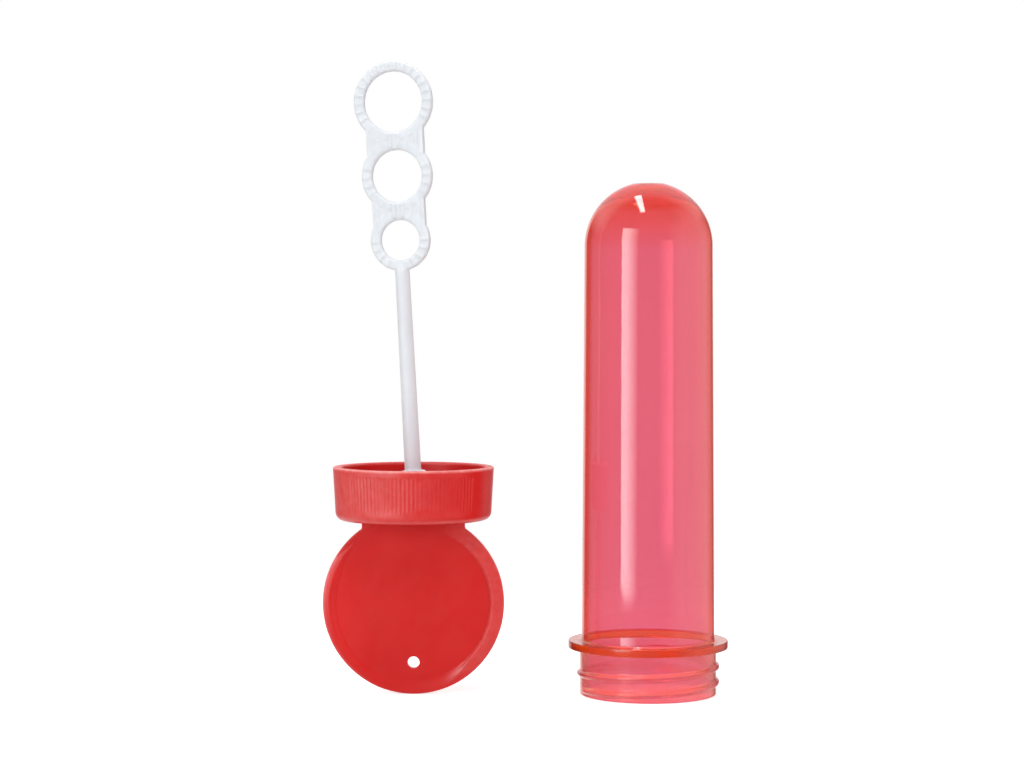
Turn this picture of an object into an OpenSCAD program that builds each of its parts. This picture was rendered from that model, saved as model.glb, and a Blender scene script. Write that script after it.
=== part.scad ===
// A bubble wand taken apart: its screw cap stands on the round tag with the wand upright in
// its socket, and the empty tube stands beside it, mouth down.
// Millimetres. +Z is up, the floor is z = 0 and the tag's flat faces look along Y. The origin
// is on the floor, under the middle of the whole layout.

/* [Tube body] */
// Length of the straight body, from the flange to the start of the dome
body_len = 78.8; // [50:0.1:110]
// Outer diameter of the body beside the flange
body_flange_d = 26.6; // [25:0.1:27.2]
// Outer diameter of the body where the dome starts
body_dome_d = 25.6; // [23:0.1:26.6]
// Wall of the body
body_wall = 0.6; // [0.5:0.05:1]
// Wall in the middle of the dome, behind the flat that the gate left
apex_wall = 1.7; // [1.2:0.1:2.5]
// Width of the flat that the gate left on the dome
gate_d = 6.6; // [3:0.1:9]

/* [Tube neck] */
// Outer diameter of the neck, between the thread ridges
neck_d = 27.3; // [27.2:0.1:30]
// Length of the neck, from the mouth to the flange
neck_len = 9.3; // [8:0.1:12]
// Wall of the neck
neck_wall = 0.9; // [0.8:0.05:1.2]
// How far the flange stands out from the neck
flange_out = 2.35; // [1.2:0.05:4]
// Thickness of the flange
flange_t = 1.5; // [1:0.1:2.5]

/* [Thread] */
// Rise of the thread in one turn
thread_pitch = 3.1; // [2.6:0.1:3.4]
// Turns of the ridge on the tube
tube_turns = 1.8; // [1:0.1:2]
// Turns of the ridge in the cap
cap_turns = 1.5; // [0.8:0.1:1.6]
// Height of a ridge
thread_h = 0.6; // [0.4:0.05:0.8]
// Width of a ridge at its root
thread_root_w = 1.7; // [1.2:0.1:1.8]
// Width of a ridge at its crest
thread_crest_w = 0.5; // [0.3:0.1:0.8]
// Clearance between the neck's thread and the cap's
thread_clear = 0.2; // [0.1:0.05:0.4]
// Height of the ridge's middle over the mouth where the tube's ridge starts
thread_lead = 1.05; // [1:0.05:1.4]

/* [Cap] */
// Wall of the cap at its closed end
cap_wall = 1.15; // [0.9:0.05:2]
// How much wider the cap's radius is at the rim than at the closed end
cap_flare = 0.5; // [0:0.05:1]
// Thickness of the closed end
cap_end_t = 1.5; // [1:0.1:2.5]
// Rounding of the corner between side and closed end
cap_corner_r = 1.6; // [0.6:0.1:1.8]
// Gap that is left between rim and flange when the cap is screwed home
closed_gap = 0.2; // [0.1:0.05:0.6]
// Distance between the grip's flutes, around the cap
flute_pitch = 0.83; // [0.7:0.01:1.5]
// Depth of a flute
flute_depth = 0.2; // [0.1:0.05:0.3]
// Half of the angle that the flutes cover at the front, and again at the back
flute_arc = 48; // [20:1:80]
// Height of the flutes' lower end over the closed end
flute_foot = 1.7; // [1.5:0.1:3]
// Plain band between the flutes and the rim
flute_head = 1.2; // [0.8:0.1:3]

/* [Seal and socket in the cap] */
// Height of the seal ring that plugs the tube's mouth
seal_h = 2.2; // [1:0.1:3]
// Wall of the seal ring
seal_wall = 0.9; // [0.6:0.1:1.5]
// Radial clearance between the seal ring and the mouth
seal_clear = 0.05; // [0.02:0.01:0.2]
// Height of the socket over the cap's inner floor
boss_h = 6.6; // [6:0.1:8]
// Wall of the socket
boss_wall = 1.4; // [0.8:0.1:2.5]
// Room that is left under the wand's peg
socket_room = 0.5; // [0.2:0.1:1]

/* [Tag] */
// Diameter of the tag
tag_d = 36.3; // [30:0.1:50]
// Thickness of the tag's rim
tag_t = 2.4; // [1.8:0.1:4]
// Height of the closed end over the tag's middle
tag_drop = 16.8; // [14:0.1:22]
// Width of the tab that joins the tag to the cap
tab_w = 20.6; // [10:0.1:26]
// Width of the rounded rim round the tag
tag_rim_w = 2.8; // [1.5:0.05:5]
// Depth of the tag's faces under the crest of the rim
recess_depth = 0.5; // [0.2:0.05:0.7]
// Diameter of the cord hole
hole_d = 2.4; // [1.5:0.1:5]
// Distance from the tag's middle down to the cord hole
hole_drop = 11.9; // [0:0.1:12]

/* [Wand stick] */
// Length of the stick, from the collar to the lowest ring
stick_len = 40; // [20:0.5:60]
// Diameter of the stick at the collar
stick_base_d = 3.3; // [2.6:0.1:4]
// Diameter of the stick at the lowest ring
stick_tip_d = 2.9; // [2:0.1:3.5]
// Diameter of the collar
collar_d = 5.4; // [4.5:0.1:7]
// Height of the collar
collar_h = 1.5; // [0.8:0.1:1.8]
// Diameter of the peg that sits in the socket
peg_d = 3.4; // [2.4:0.1:4.2]
// Length of the peg
peg_len = 6; // [3:0.1:6.5]
// Radial clearance of the peg in the socket
peg_clear = 0.05; // [0.02:0.01:0.1]
// Gap between the collar's lowest edge and the socket
collar_clear = 0.05; // [0.02:0.01:0.2]
// How far the stick leans to the left over its peg, in degrees
lean = 3; // [0:0.5:4]
// How far the rings are turned to the left, in degrees
ring_turn = 13; // [-180:1:180]

/* [Wand rings] */
// Inner diameter of the top ring
top_ring_d = 12; // [8:0.1:12.4]
// Inner diameter of the middle ring
mid_ring_d = 10.3; // [7:0.1:12]
// Inner diameter of the lowest ring
low_ring_d = 8; // [6:0.1:12]
// Width of every ring's band
ring_band = 2.1; // [1.5:0.1:2.4]
// Thickness of the rings, without their ribs
ring_t = 1.8; // [1.2:0.1:2.4]
// How far two neighbouring rings run into each other
ring_merge = 0.55; // [0.2:0.05:1]
// Width of the web between the top and middle rings
top_web_w = 11.7; // [6:0.1:13]
// Width of the web between the middle and lowest rings
low_web_w = 10.8; // [6:0.1:11]
// Thickness of the webs
web_t = 1.6; // [0.8:0.1:1.7]
// Distance between two ribs along the middle of a ring's band
rib_pitch = 1.75; // [1.4:0.05:3]
// Width of a rib
rib_w = 0.7; // [0.4:0.05:0.9]
// Height of a rib on each face
rib_h = 0.2; // [0.1:0.05:0.5]
// How far a rib stands out past the ring's outer edge
rib_over = 0.05; // [0.05:0.05:0.4]

/* [Layout] */
// Distance between the cap's axis and the tube's
spacing = 47; // [38:0.1:80]

/* [Hidden] */

// Colours
cap_red = [0.86, 0.25, 0.23];
wand_white = [0.89, 0.91, 0.94];
tube_red = [0.88, 0.36, 0.43, 0.65];

// Fineness of the round surfaces, and of the small arcs in a profile
$fn = 96;
dome_steps = 16;
corner_steps = 5;
full_turn = 360;
half_turn = 180;
quarter_turn = 90;

// Overrun of every cut, and how deep a piece that stands on another one reaches into it
overrun = 0.5;
root_in = 0.3;

// Tube
neck_r = neck_d / 2;
bore_r = neck_r - neck_wall;
flange_r = neck_r + flange_out;
body_z = neck_len + flange_t;
body_flange_r = body_flange_d / 2;
dome_r = body_dome_d / 2;
dome_z = body_z + body_len;
gate_r = gate_d / 2;
gate_angle = acos(gate_r / dome_r);
gate_z = dome_z + dome_r * sin(gate_angle);
inner_dome_r = dome_r - body_wall;
inner_dome_z = gate_z - apex_wall - inner_dome_r;
mouth_edge = 0.2;
flange_edge = 0.15;
body_blend = 0.5;

// Thread: segments in a turn, and the segments over which a ridge rises from the wall
thread_steps = 36;
fade_steps = 4;
thread_from = 180;

// Cap, whose own z = 0 is the outside of the closed end
tag_r = tag_d / 2;
cap_z = tag_r + tag_drop;
cap_bore_r = neck_r + thread_h + thread_clear;
cap_thread_r = neck_r + thread_clear;
cap_base_r = cap_bore_r + cap_wall;
cap_rim_r = cap_base_r + cap_flare;
cap_h = cap_end_t + neck_len - closed_gap;
rim_edge = 0.3;
lead_in = 0.4;
side_angle = atan(cap_flare / (cap_h - rim_edge - cap_corner_r));
flute_r = (cap_base_r + cap_rim_r) / 2;
flute_count = round(full_turn * flute_r / flute_pitch * PI / half_turn);
flute_step = full_turn / flute_count;
flute_side_count = floor(flute_arc / flute_step);
flute_sides = 4;
seal_r = bore_r - seal_clear;
seal_edge = 0.3;
socket_r = peg_d / 2 + peg_clear;
boss_r = socket_r + boss_wall;
boss_top = cap_end_t + boss_h;
boss_edge = 0.3;

// Tag, whose own z = 0 is its middle
recess_r = tag_r - tag_rim_w;
rim_steps = 12;
crest_in = 0.1;
tag_floor_t = tag_t - 2 * recess_depth;
gate_mark_d = 1;
gate_mark_h = 0.1;
gate_mark_rise = 7.1;

// Wand, whose own z = 0 is the middle of the collar's underside
collar_r = collar_d / 2;
collar_edge = 0.4;
wand_z = boss_top + collar_clear + collar_r * sin(lean);
low_ring_r = low_ring_d / 2;
mid_ring_r = mid_ring_d / 2;
top_ring_r = top_ring_d / 2;
low_ring_z = collar_h + stick_len + ring_band + low_ring_r;
mid_ring_z = low_ring_z + low_ring_r + mid_ring_r + 2 * ring_band - ring_merge;
top_ring_z = mid_ring_z + mid_ring_r + top_ring_r + 2 * ring_band - ring_merge;
ring_edge = 0.35;
rib_inset = 0.25;
stick_in = ring_band - ring_edge;

// Layout: the origin is under the middle, between the tag's edge and the flange's
cap_x = -(spacing + flange_r - tag_r) / 2;
tube_x = cap_x + spacing;

// Points of a circular arc with its middle at (x, y), from one angle to another
function arc(x, y, r, from, to, steps) =
    [for (i = [0:steps]) let (a = from + (to - from) * i / steps) [x + r * cos(a), y + r * sin(a)]];

// One cross-section of a thread ridge: its root, its crest and its root again
function ridge_section(a, z, root_r, tip_r) = [
    [root_r * cos(a), root_r * sin(a), z - thread_root_w / 2],
    [tip_r * cos(a), tip_r * sin(a), z - thread_crest_w / 2],
    [tip_r * cos(a), tip_r * sin(a), z + thread_crest_w / 2],
    [root_r * cos(a), root_r * sin(a), z + thread_root_w / 2],
];

// A right-hand thread ridge, which rises out of the wall at both of its ends
module thread_ridge(root_r, hidden_r, crest_r, first_z, turns) {
    steps = ceil(turns * thread_steps);
    sections = [for (i = [0:steps])
        let (a = thread_from + i * turns * full_turn / steps)
        let (z = first_z + i * turns * thread_pitch / steps)
        let (grown = min(1, min(i, steps - i) / fade_steps))
        ridge_section(a, z, root_r, hidden_r + (crest_r - hidden_r) * grown)];
    corners = len(sections[0]);
    last = steps * corners;
    sides = [for (i = [0:steps - 1], k = [0:corners - 1])
        let (a = i * corners + k)
        let (b = i * corners + (k + 1) % corners)
        each [[a, b, b + corners], [a, b + corners, a + corners]]];
    ends = [for (k = [1:corners - 2]) each [[0, k + 1, k], [last, last + k, last + k + 1]]];
    faces = concat(sides, ends);
    inward = crest_r < root_r;
    polyhedron([for (s = sections) each s], inward ? [for (f = faces) [f[2], f[1], f[0]]] : faces);
}

// Wall of the tube, turned about its axis: neck, flange, body and dome, then the inside
module tube_wall() {
    outside = concat(
        [[bore_r, 0], [neck_r - mouth_edge, 0], [neck_r, mouth_edge], [neck_r, neck_len]],
        [[flange_r - flange_edge, neck_len], [flange_r, neck_len + flange_edge]],
        [[flange_r, body_z - flange_edge], [flange_r - flange_edge, body_z]],
        [[body_flange_r + body_blend, body_z], [body_flange_r, body_z + body_blend]],
        arc(0, dome_z, dome_r, 0, gate_angle, dome_steps),
        [[0, gate_z]]
    );
    inside = concat(
        arc(0, inner_dome_z, inner_dome_r, quarter_turn, 0, dome_steps),
        [[body_flange_r - body_wall, body_z + body_blend], [bore_r, body_z]]
    );
    rotate_extrude()
        polygon(concat(outside, inside));
}

// Wall of the cap, turned about its axis, with its rounded corner and its rim
module cap_wall_and_end() {
    rotate_extrude()
        polygon(concat(
            [[0, 0]],
            arc(cap_base_r - cap_corner_r, cap_corner_r, cap_corner_r, -quarter_turn, 0, corner_steps),
            [[cap_rim_r, cap_h - rim_edge], [cap_rim_r - rim_edge, cap_h]],
            [[cap_bore_r + lead_in, cap_h], [cap_bore_r, cap_h - lead_in]],
            [[cap_bore_r, cap_end_t], [0, cap_end_t]]
        ));
}

// V-shaped grip flutes at the front and the back of the cap
module flutes() {
    flute_len = cap_h - flute_head - flute_foot;
    for (side = [-quarter_turn, quarter_turn], i = [-flute_side_count:flute_side_count])
        rotate([0, 0, side + i * flute_step])
            translate([cap_base_r, 0, cap_corner_r])
                rotate([0, side_angle, 0])
                    translate([0, 0, flute_foot - cap_corner_r])
                        cylinder(r = flute_depth, h = flute_len, $fn = flute_sides);
}

// Ring on the cap's inner floor that plugs the tube's mouth
module seal_ring() {
    seal_z = cap_end_t - root_in;
    seal_top = cap_end_t + seal_h;
    rotate_extrude()
        polygon([
            [seal_r - seal_wall, seal_z],
            [seal_r, seal_z],
            [seal_r, seal_top - seal_edge],
            [seal_r - seal_edge, seal_top],
            [seal_r - seal_wall, seal_top],
        ]);
}

// Socket on the cap's inner floor that holds the wand's peg
module socket() {
    socket_z = boss_top - peg_len - socket_room;
    rotate_extrude()
        polygon([
            [0, cap_end_t - root_in],
            [boss_r, cap_end_t - root_in],
            [boss_r, boss_top - boss_edge],
            [boss_r - boss_edge, boss_top],
            [socket_r, boss_top],
            [socket_r, socket_z],
            [0, socket_z],
        ]);
}

// Cylinder along Y with its middle at the origin
module disc(r, h) {
    rotate([quarter_turn, 0, 0])
        cylinder(r = r, h = h, center = true);
}

// Half section of the tag: a thin disc whose rim swells to a crest and falls again
function rim_points(side) = [for (i = [0:rim_steps])
    [recess_r + tag_rim_w * i / rim_steps,
     side * (tag_floor_t / 2 + recess_depth * sin(half_turn * i / rim_steps))]];
function backward(points) = [for (i = [len(points) - 1:-1:0]) points[i]];

// Flat tab between tag and cap, thinned to the tag's faces inside the crest of the rim
module tab(top) {
    crest_r = recess_r + tag_rim_w / 2 - crest_in;
    difference() {
        translate([-tab_w / 2, -tag_t / 2, 0])
            cube([tab_w, tag_t, top]);
        for (side = [-1, 1])
            translate([0, side * (tag_t / 2 + (overrun - recess_depth) / 2), 0])
                disc(crest_r, recess_depth + overrun);
    }
}

// Round tag with its rim, a cord hole, the mark of a gate and the tab up to the cap
module tag() {
    tag_top = tag_drop + root_in;
    floor_y = tag_floor_t / 2;
    difference() {
        union() {
            intersection() {
                rotate([quarter_turn, 0, 0])
                    rotate_extrude()
                        polygon(concat(
                            [[0, -floor_y]],
                            rim_points(-1),
                            backward(rim_points(1)),
                            [[0, floor_y]]
                        ));
                translate([-tag_r, -tag_t, -tag_r])
                    cube([tag_d, 2 * tag_t, tag_r + tag_top]);
            }
            tab(tag_top);
        }
        translate([0, 0, -hole_drop])
            disc(hole_d / 2, tag_t + overrun);
    }
    translate([0, -floor_y, gate_mark_rise])
        disc(gate_mark_d / 2, 2 * gate_mark_h);
}

// One flat ring of the wand, standing in the XZ plane, with radial ribs on both faces
module wand_ring(r) {
    outer_r = r + ring_band;
    half_t = ring_t / 2;
    rib_t = ring_t + 2 * rib_h;
    rib_from = r + rib_inset;
    rib_len = ring_band - rib_inset + rib_over;
    rib_count = 2 * round(full_turn * (r + ring_band / 2) / rib_pitch * PI / full_turn);
    rib_step = full_turn / rib_count;
    rotate([quarter_turn, 0, 0])
        rotate_extrude()
            polygon([
                [r, ring_edge - half_t],
                [r + ring_edge, -half_t],
                [outer_r - ring_edge, -half_t],
                [outer_r, ring_edge - half_t],
                [outer_r, half_t - ring_edge],
                [outer_r - ring_edge, half_t],
                [r + ring_edge, half_t],
                [r, half_t - ring_edge],
            ]);
    for (i = [0:rib_count - 1])
        rotate([0, rib_step * i + rib_step / 2 - quarter_turn, 0])
            translate([rib_from, -rib_t / 2, -rib_w / 2])
                cube([rib_len, rib_t, rib_w]);
}

// Web between a lower and an upper ring, with the two long ribs that cross it
module web(low_r, low_z, high_r, high_z, width) {
    rib_t = web_t + 2 * rib_h;
    long_from = low_z + low_r + rib_inset;
    long_to = high_z - high_r - rib_inset;
    long_x = rib_pitch / 2;
    difference() {
        translate([-width / 2, -web_t / 2, low_z])
            cube([width, web_t, high_z - low_z]);
        translate([0, 0, low_z])
            disc(low_r + ring_band / 2, web_t + overrun);
        translate([0, 0, high_z])
            disc(high_r + ring_band / 2, web_t + overrun);
    }
    for (x = [-long_x, long_x])
        translate([x - rib_w / 2, -rib_t / 2, long_from])
            cube([rib_w, rib_t, long_to - long_from]);
}

// Everything of the wand above its peg, upright and with its rings in the XZ plane
module wand_upper() {
    cylinder(r = collar_r, h = collar_h - collar_edge);
    translate([0, 0, collar_h - collar_edge])
        cylinder(r1 = collar_r, r2 = collar_r - collar_edge, h = collar_edge);
    translate([0, 0, collar_h - root_in])
        cylinder(d1 = stick_base_d, d2 = stick_tip_d, h = stick_len + root_in);
    translate([0, 0, collar_h + stick_len - root_in])
        cylinder(d1 = stick_tip_d, d2 = ring_t, h = stick_in + root_in);
    translate([0, 0, low_ring_z])
        wand_ring(low_ring_r);
    translate([0, 0, mid_ring_z])
        wand_ring(mid_ring_r);
    translate([0, 0, top_ring_z])
        wand_ring(top_ring_r);
    web(low_ring_r, low_ring_z, mid_ring_r, mid_ring_z, low_web_w);
    web(mid_ring_r, mid_ring_z, top_ring_r, top_ring_z, top_web_w);
}

// Screw cap with the tag under its closed end, and inside it the thread, seal and socket
module cap() {
    cap_thread_z = cap_end_t + thread_lead + thread_pitch / 2;
    color(cap_red)
        translate([cap_x, 0, 0]) {
            translate([0, 0, cap_z]) {
                difference() {
                    cap_wall_and_end();
                    flutes();
                }
                thread_ridge(cap_bore_r + root_in, cap_bore_r + root_in / 2, cap_thread_r,
                    cap_thread_z, cap_turns);
                seal_ring();
                socket();
            }
            translate([0, 0, tag_r])
                tag();
        }
}

// Wand: the peg stands upright in the socket, and the rest leans over it
module wand() {
    color(wand_white)
        translate([cap_x, 0, cap_z]) {
            translate([0, 0, boss_top - peg_len])
                cylinder(d = peg_d, h = wand_z - boss_top + peg_len + collar_h / 2);
            translate([0, 0, wand_z])
                rotate([0, -lean, 0])
                    rotate([0, 0, -ring_turn])
                        wand_upper();
        }
}

// Test tube, standing on its mouth
module tube() {
    color(tube_red)
        translate([tube_x, 0, 0]) {
            tube_wall();
            thread_ridge(neck_r - root_in, neck_r - root_in / 2, neck_r + thread_h,
                thread_lead, tube_turns);
        }
}

cap();
wand();
tube();
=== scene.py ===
"""The bubble wand, taken apart as in the photograph: cap with tag and wand, and the empty tube.

Meshes are drawn in millimetres and scaled to metres as they are made. +Z is up, the floor is
z = 0 and the camera looks along +Y.
"""

import math
import random

import bmesh
import bpy
import numpy as np
from mathutils import Matrix, Vector


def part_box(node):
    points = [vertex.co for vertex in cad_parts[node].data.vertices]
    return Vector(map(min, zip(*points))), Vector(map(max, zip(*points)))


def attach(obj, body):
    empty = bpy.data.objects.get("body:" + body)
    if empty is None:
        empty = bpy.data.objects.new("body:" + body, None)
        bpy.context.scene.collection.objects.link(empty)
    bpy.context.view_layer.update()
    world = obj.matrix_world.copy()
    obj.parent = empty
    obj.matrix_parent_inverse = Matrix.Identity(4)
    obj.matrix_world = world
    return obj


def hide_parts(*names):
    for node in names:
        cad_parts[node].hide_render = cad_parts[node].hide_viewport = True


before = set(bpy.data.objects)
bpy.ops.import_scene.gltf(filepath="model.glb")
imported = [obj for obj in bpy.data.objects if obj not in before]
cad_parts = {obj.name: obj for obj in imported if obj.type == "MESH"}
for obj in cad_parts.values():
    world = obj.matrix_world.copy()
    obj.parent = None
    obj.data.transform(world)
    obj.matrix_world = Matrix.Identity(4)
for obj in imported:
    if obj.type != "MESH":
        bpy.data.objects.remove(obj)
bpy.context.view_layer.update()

MM = 0.001
FULL_TURN = 2 * math.pi
QUARTER_TURN = FULL_TURN / 4

# Least length that counts, in millimetres, and least divisor
TINY = 0.001


def box_mm(node):
    """Lowest and highest corner of a CAD node, in millimetres."""
    low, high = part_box(node)
    return low / MM, high / MM


# Places and outer sizes, from the frame
CAP_LOW, CAP_HIGH = box_mm("cap")
TUBE_LOW, TUBE_HIGH = box_mm("tube")
CAP_X = (CAP_LOW.x + CAP_HIGH.x) / 2
TUBE_X = (TUBE_LOW.x + TUBE_HIGH.x) / 2
TAG_R = (CAP_HIGH.x - CAP_LOW.x) / 2
FLANGE_R = (TUBE_HIGH.x - TUBE_LOW.x) / 2

# Tube
NECK_R = 13.65
NECK_LEN = 9.3
BORE_R = 12.75
FLANGE_T = 1.5
FLANGE_EDGE = 0.15
MOUTH_EDGE = 0.2
BODY_Z = NECK_LEN + FLANGE_T
BODY_FLANGE_R = 13.3
BODY_BLEND = 0.5
BODY_WALL = 0.6
DOME_R = 12.8
DOME_Z = 89.6
DOME_STEPS = 30
APEX_WALL = 1.7
THICKENS_FROM = math.radians(35)
THICKENING_POWER = 1.5
GATE_R = 3.3
GATE_DISH = 0.04
GATE_DISH_R = 2.4
GATE_NUB_R = 0.5
TUBE_COLUMNS = 288
TUBE_SHARP_ANGLE = 50

# Thread, the same on the tube and in the cap
THREAD_PITCH = 3.1
THREAD_H = 0.6
THREAD_FOOT_HALF = 0.8
THREAD_CREST_HALF = 0.2
THREAD_LEAD = 1.05
THREAD_FROM = math.pi
THREAD_FADE = 1 / 9
THREAD_CLEAR = 0.2
TUBE_TURNS = 1.8
CAP_TURNS = 1.5
THREAD_ROW = 0.15

# Cap, whose own z = 0 is the outside of its closed end
CAP_H = 10.6
CAP_Z = CAP_HIGH.z - CAP_H
CAP_END_T = 1.5
CAP_CORNER_R = 1.6
CAP_BASE_R = 15.6
CAP_RIM_R = 16.09
CAP_BORE_R = NECK_R + THREAD_H + THREAD_CLEAR
RIM_EDGE = 0.3
LEAD_IN = 0.4
FLUTE_COUNT = 120
FLUTES_A_SIDE = 33
FLUTE_DEPTH = 0.13
FLUTE_LEAST = 0.82
FLUTE_SEED = 7
FLUTE_SAMPLES = 6
FLUTE_FOOT = 1.7
FLUTE_HEAD = 1.2
FLUTE_FOOT_FADE = 1.8
FLUTE_HEAD_FADE = 0.5
PLAIN_COLUMN = math.radians(1.5)
CAP_SHARP_ANGLE = 35
SEAL_R = BORE_R - 0.05
SEAL_WALL = 0.9
SEAL_H = 2.2
SEAL_EDGE = 0.3
BOSS_R = 3.15
BOSS_TOP = 8.1
BOSS_EDGE = 0.3
SOCKET_R = 1.75
SOCKET_Z = 1.6
INNER_FILLET = 0.2

# Tag, whose own z = 0 is its middle
TAG_T = 2.4
TAG_EDGE = 0.15
TAG_DROP = 16.8
TAB_W = 20.6
TAB_IN = 0.3
TAB_FILLET = 0.4
RIM_W = 2.8
RECESS_R = TAG_R - RIM_W
RECESS_CREASE = 0.08
RECESS_DEPTH = 0.5
RIM_STEP_W = 0.4
RIM_CROWN = (0.30, 0.60)
RIM_SIDE_FROM = 0.35
RIM_SIDE_SPAN = 0.4
RIM_LEFT_SPAN = 0.5
RIM_LEFT_SOFTNESS = 0.5
RIM_FLAT_Z = 14.0
FACE_RISES_Z = 5.0
HOLE_R = 1.2
HOLE_DROP = 11.9
MARK_R = 0.5
MARK_H = 0.06
MARK_RISE = 7.1
DISC_COLUMNS = 48
TAG_COLUMNS = 360
TAG_FLOOR_RINGS = 7
TAG_RIM_RINGS = 24
TAG_EDGE_RINGS = 4

# Wand, whose own z = 0 is the middle of the collar's underside
WAND_Z = 8.2913
LEAN = math.radians(3)
RING_TURN = math.radians(13)
COLLAR_R = 2.7
COLLAR_H = 1.5
COLLAR_EDGE = 0.4
STICK_LEN = 40.0
STICK_BASE_R = 1.65
STICK_TIP_R = 1.45
PEG_R = 1.62
PEG_LEN = 6.0
RING_RADII = (4.0, 5.15, 6.0)
RING_BAND = 2.1
RING_T = 1.8
RING_EDGE = 0.5
RING_MERGE = 0.55
WEB_WIDTHS = (10.8, 11.7)
WEB_T = 1.6
RIB_PITCH = 1.75
RIB_HALF = 0.65
RIB_H = 0.17
RIB_SAMPLES = 12
WEB_COLUMNS = 97
ROD_SEGMENTS = 64
WEB_RIB_RISE = 0.9
LONG_RIB_RISE = 2.4
WAND_VOXEL = 0.105
WAND_SOFTENING = 11
WAND_SOFTENING_SHARE = 0.5

# How far edge rubbing and painted highlights reach from an edge, and how much there is: 1 at the
# cap's lip, which is a painted highlight
WEAR_REACH = 0.7
LIP_REACH = 0.55
# On the cap, edge rubbing and painted highlight along the bore's top edge, the bottom corner and
# the tag's edge
EDGE_WEAR_AND_HIGHLIGHT = 0.3
# Painted sheen on the cap's grip, palest on the left and gone at this distance right of the middle
GRIP_SHEEN = 0.22
GRIP_SHEEN_ENDS_X = 13.0
# Painted highlight on the right part of the tag's rim, and where it starts and grows
RIGHT_RIM_HIGHLIGHT = 0.13
RIGHT_RIM_HIGHLIGHT_FROM = 0.3
RIGHT_RIM_HIGHLIGHT_SPAN = 0.4
NECK_WEAR = 0.7
GATE_WEAR_H = 1.2


def smooth(share):
    """Smooth step from 0 to 1, of a number or an array."""
    share = np.clip(share, 0.0, 1.0)
    return share * share * (3.0 - 2.0 * share)


def arc(x, z, r, start, end, steps):
    """Points of a circular arc from one angle to another, in degrees, with both ends."""
    angles = np.radians(np.linspace(start, end, steps + 1))
    return [(x + r * math.cos(a), z + r * math.sin(a)) for a in angles]


def stretch(a, b, steps):
    """Points inside the straight stretch between a and b, without its ends."""
    shares = np.linspace(0, 1, steps + 1)[1:-1]
    return [(a[0] + (b[0] - a[0]) * s, a[1] + (b[1] - a[1]) * s) for s in shares]


def outline(*parts):
    """One list of points out of arcs and corners, with stretches of even steps between them.

    A number between two parts is the count of steps that join them.
    """
    points = []
    steps = 1
    for part in parts:
        if isinstance(part, int):
            steps = part
            continue
        part = part if isinstance(part, list) else [part]
        if points:
            points += stretch(points[-1], part[0], steps)
        points += part
        steps = 1
    return np.array(points)


def new_object(name, mesh):
    """Object with that mesh, linked into the scene."""
    made = bpy.data.objects.new(name, mesh)
    bpy.context.scene.collection.objects.link(made)
    return made


def closed_skin(name, rings, first, last):
    """Closed mesh object over rings of points, with one point before them and one after."""
    count, corners, _ = rings.shape
    points = np.vstack([rings.reshape(-1, 3), first, last]) * MM
    start, end = count * corners, count * corners + 1
    here = np.arange(corners)
    after = (here + 1) % corners
    faces = [(start, a, b) for a, b in zip(here, after)]
    for ring in range(count - 1):
        low = ring * corners
        high = low + corners
        faces += [(low + a, high + a, high + b, low + b) for a, b in zip(here, after)]
    top = (count - 1) * corners
    faces += [(end, top + b, top + a) for a, b in zip(here, after)]
    mesh = bpy.data.meshes.new(name)
    mesh.from_pydata(points.tolist(), [], [tuple(int(i) for i in f) for f in faces])
    made = new_object(name, mesh)
    face_outward(made)
    return made


def face_outward(made):
    """Turns every face's normal to the outside."""
    bm = bmesh.new()
    bm.from_mesh(made.data)
    bmesh.ops.recalc_face_normals(bm, faces=bm.faces)
    bm.to_mesh(made.data)
    bm.free()


def apply_modifiers(made):
    """Puts the result of the modifiers into the mesh."""
    graph = bpy.context.evaluated_depsgraph_get()
    mesh = bpy.data.meshes.new_from_object(made.evaluated_get(graph))
    made.modifiers.clear()
    made.data = mesh


def cut_or_join(made, other, operation):
    """Boolean of two closed objects. The other one is used up."""
    step = made.modifiers.new("boolean", "BOOLEAN")
    step.operation = operation
    step.solver = "EXACT"
    step.object = other
    apply_modifiers(made)
    bpy.data.objects.remove(other)


def shade(made, sharp_angle):
    """Smooth shading, but for edges sharper than that angle in degrees."""
    for polygon in made.data.polygons:
        polygon.use_smooth = True
    made.data.set_sharp_from_angle(angle=math.radians(sharp_angle))


def fading(near, reach):
    """Share that falls from 1 to 0 as the distance grows to reach."""
    return 1 - smooth(near / reach)


def mark_wear_and_highlight(made, worn_and_highlit, unit):
    """Stores at each vertex how rubbed it is, from 0 to 1; on the cap this also holds painted
    highlights and a painted sheen.

    The function given tells that at places in mm, and unit is the size of a millimetre in the mesh.
    """
    count = len(made.data.vertices)
    places = np.empty(count * 3)
    made.data.vertices.foreach_get("co", places)
    x, y, z = places.reshape(-1, 3).T / unit
    wear_and_highlight = made.data.attributes.new("wear_and_highlight", "FLOAT", "POINT")
    wear_and_highlight.data.foreach_set("value", worn_and_highlit(x, y, z))


def lathe(name, points, angles, x, z, change=None):
    """Solid of revolution round a vertical axis, whose outline starts and ends on the axis.

    change holds how much each ring's radius grows at each angle.
    """
    radii = np.repeat(points[1:-1, :1], len(angles), axis=1)
    if change is not None:
        radii = radii + change[1:-1]
    heights = np.repeat(points[1:-1, 1:], len(angles), axis=1)
    rings = np.stack([x + radii * np.cos(angles), radii * np.sin(angles), z + heights], axis=2)
    return closed_skin(name, rings, (x, 0, z + points[0, 1]), (x, 0, z + points[-1, 1]))


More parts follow.
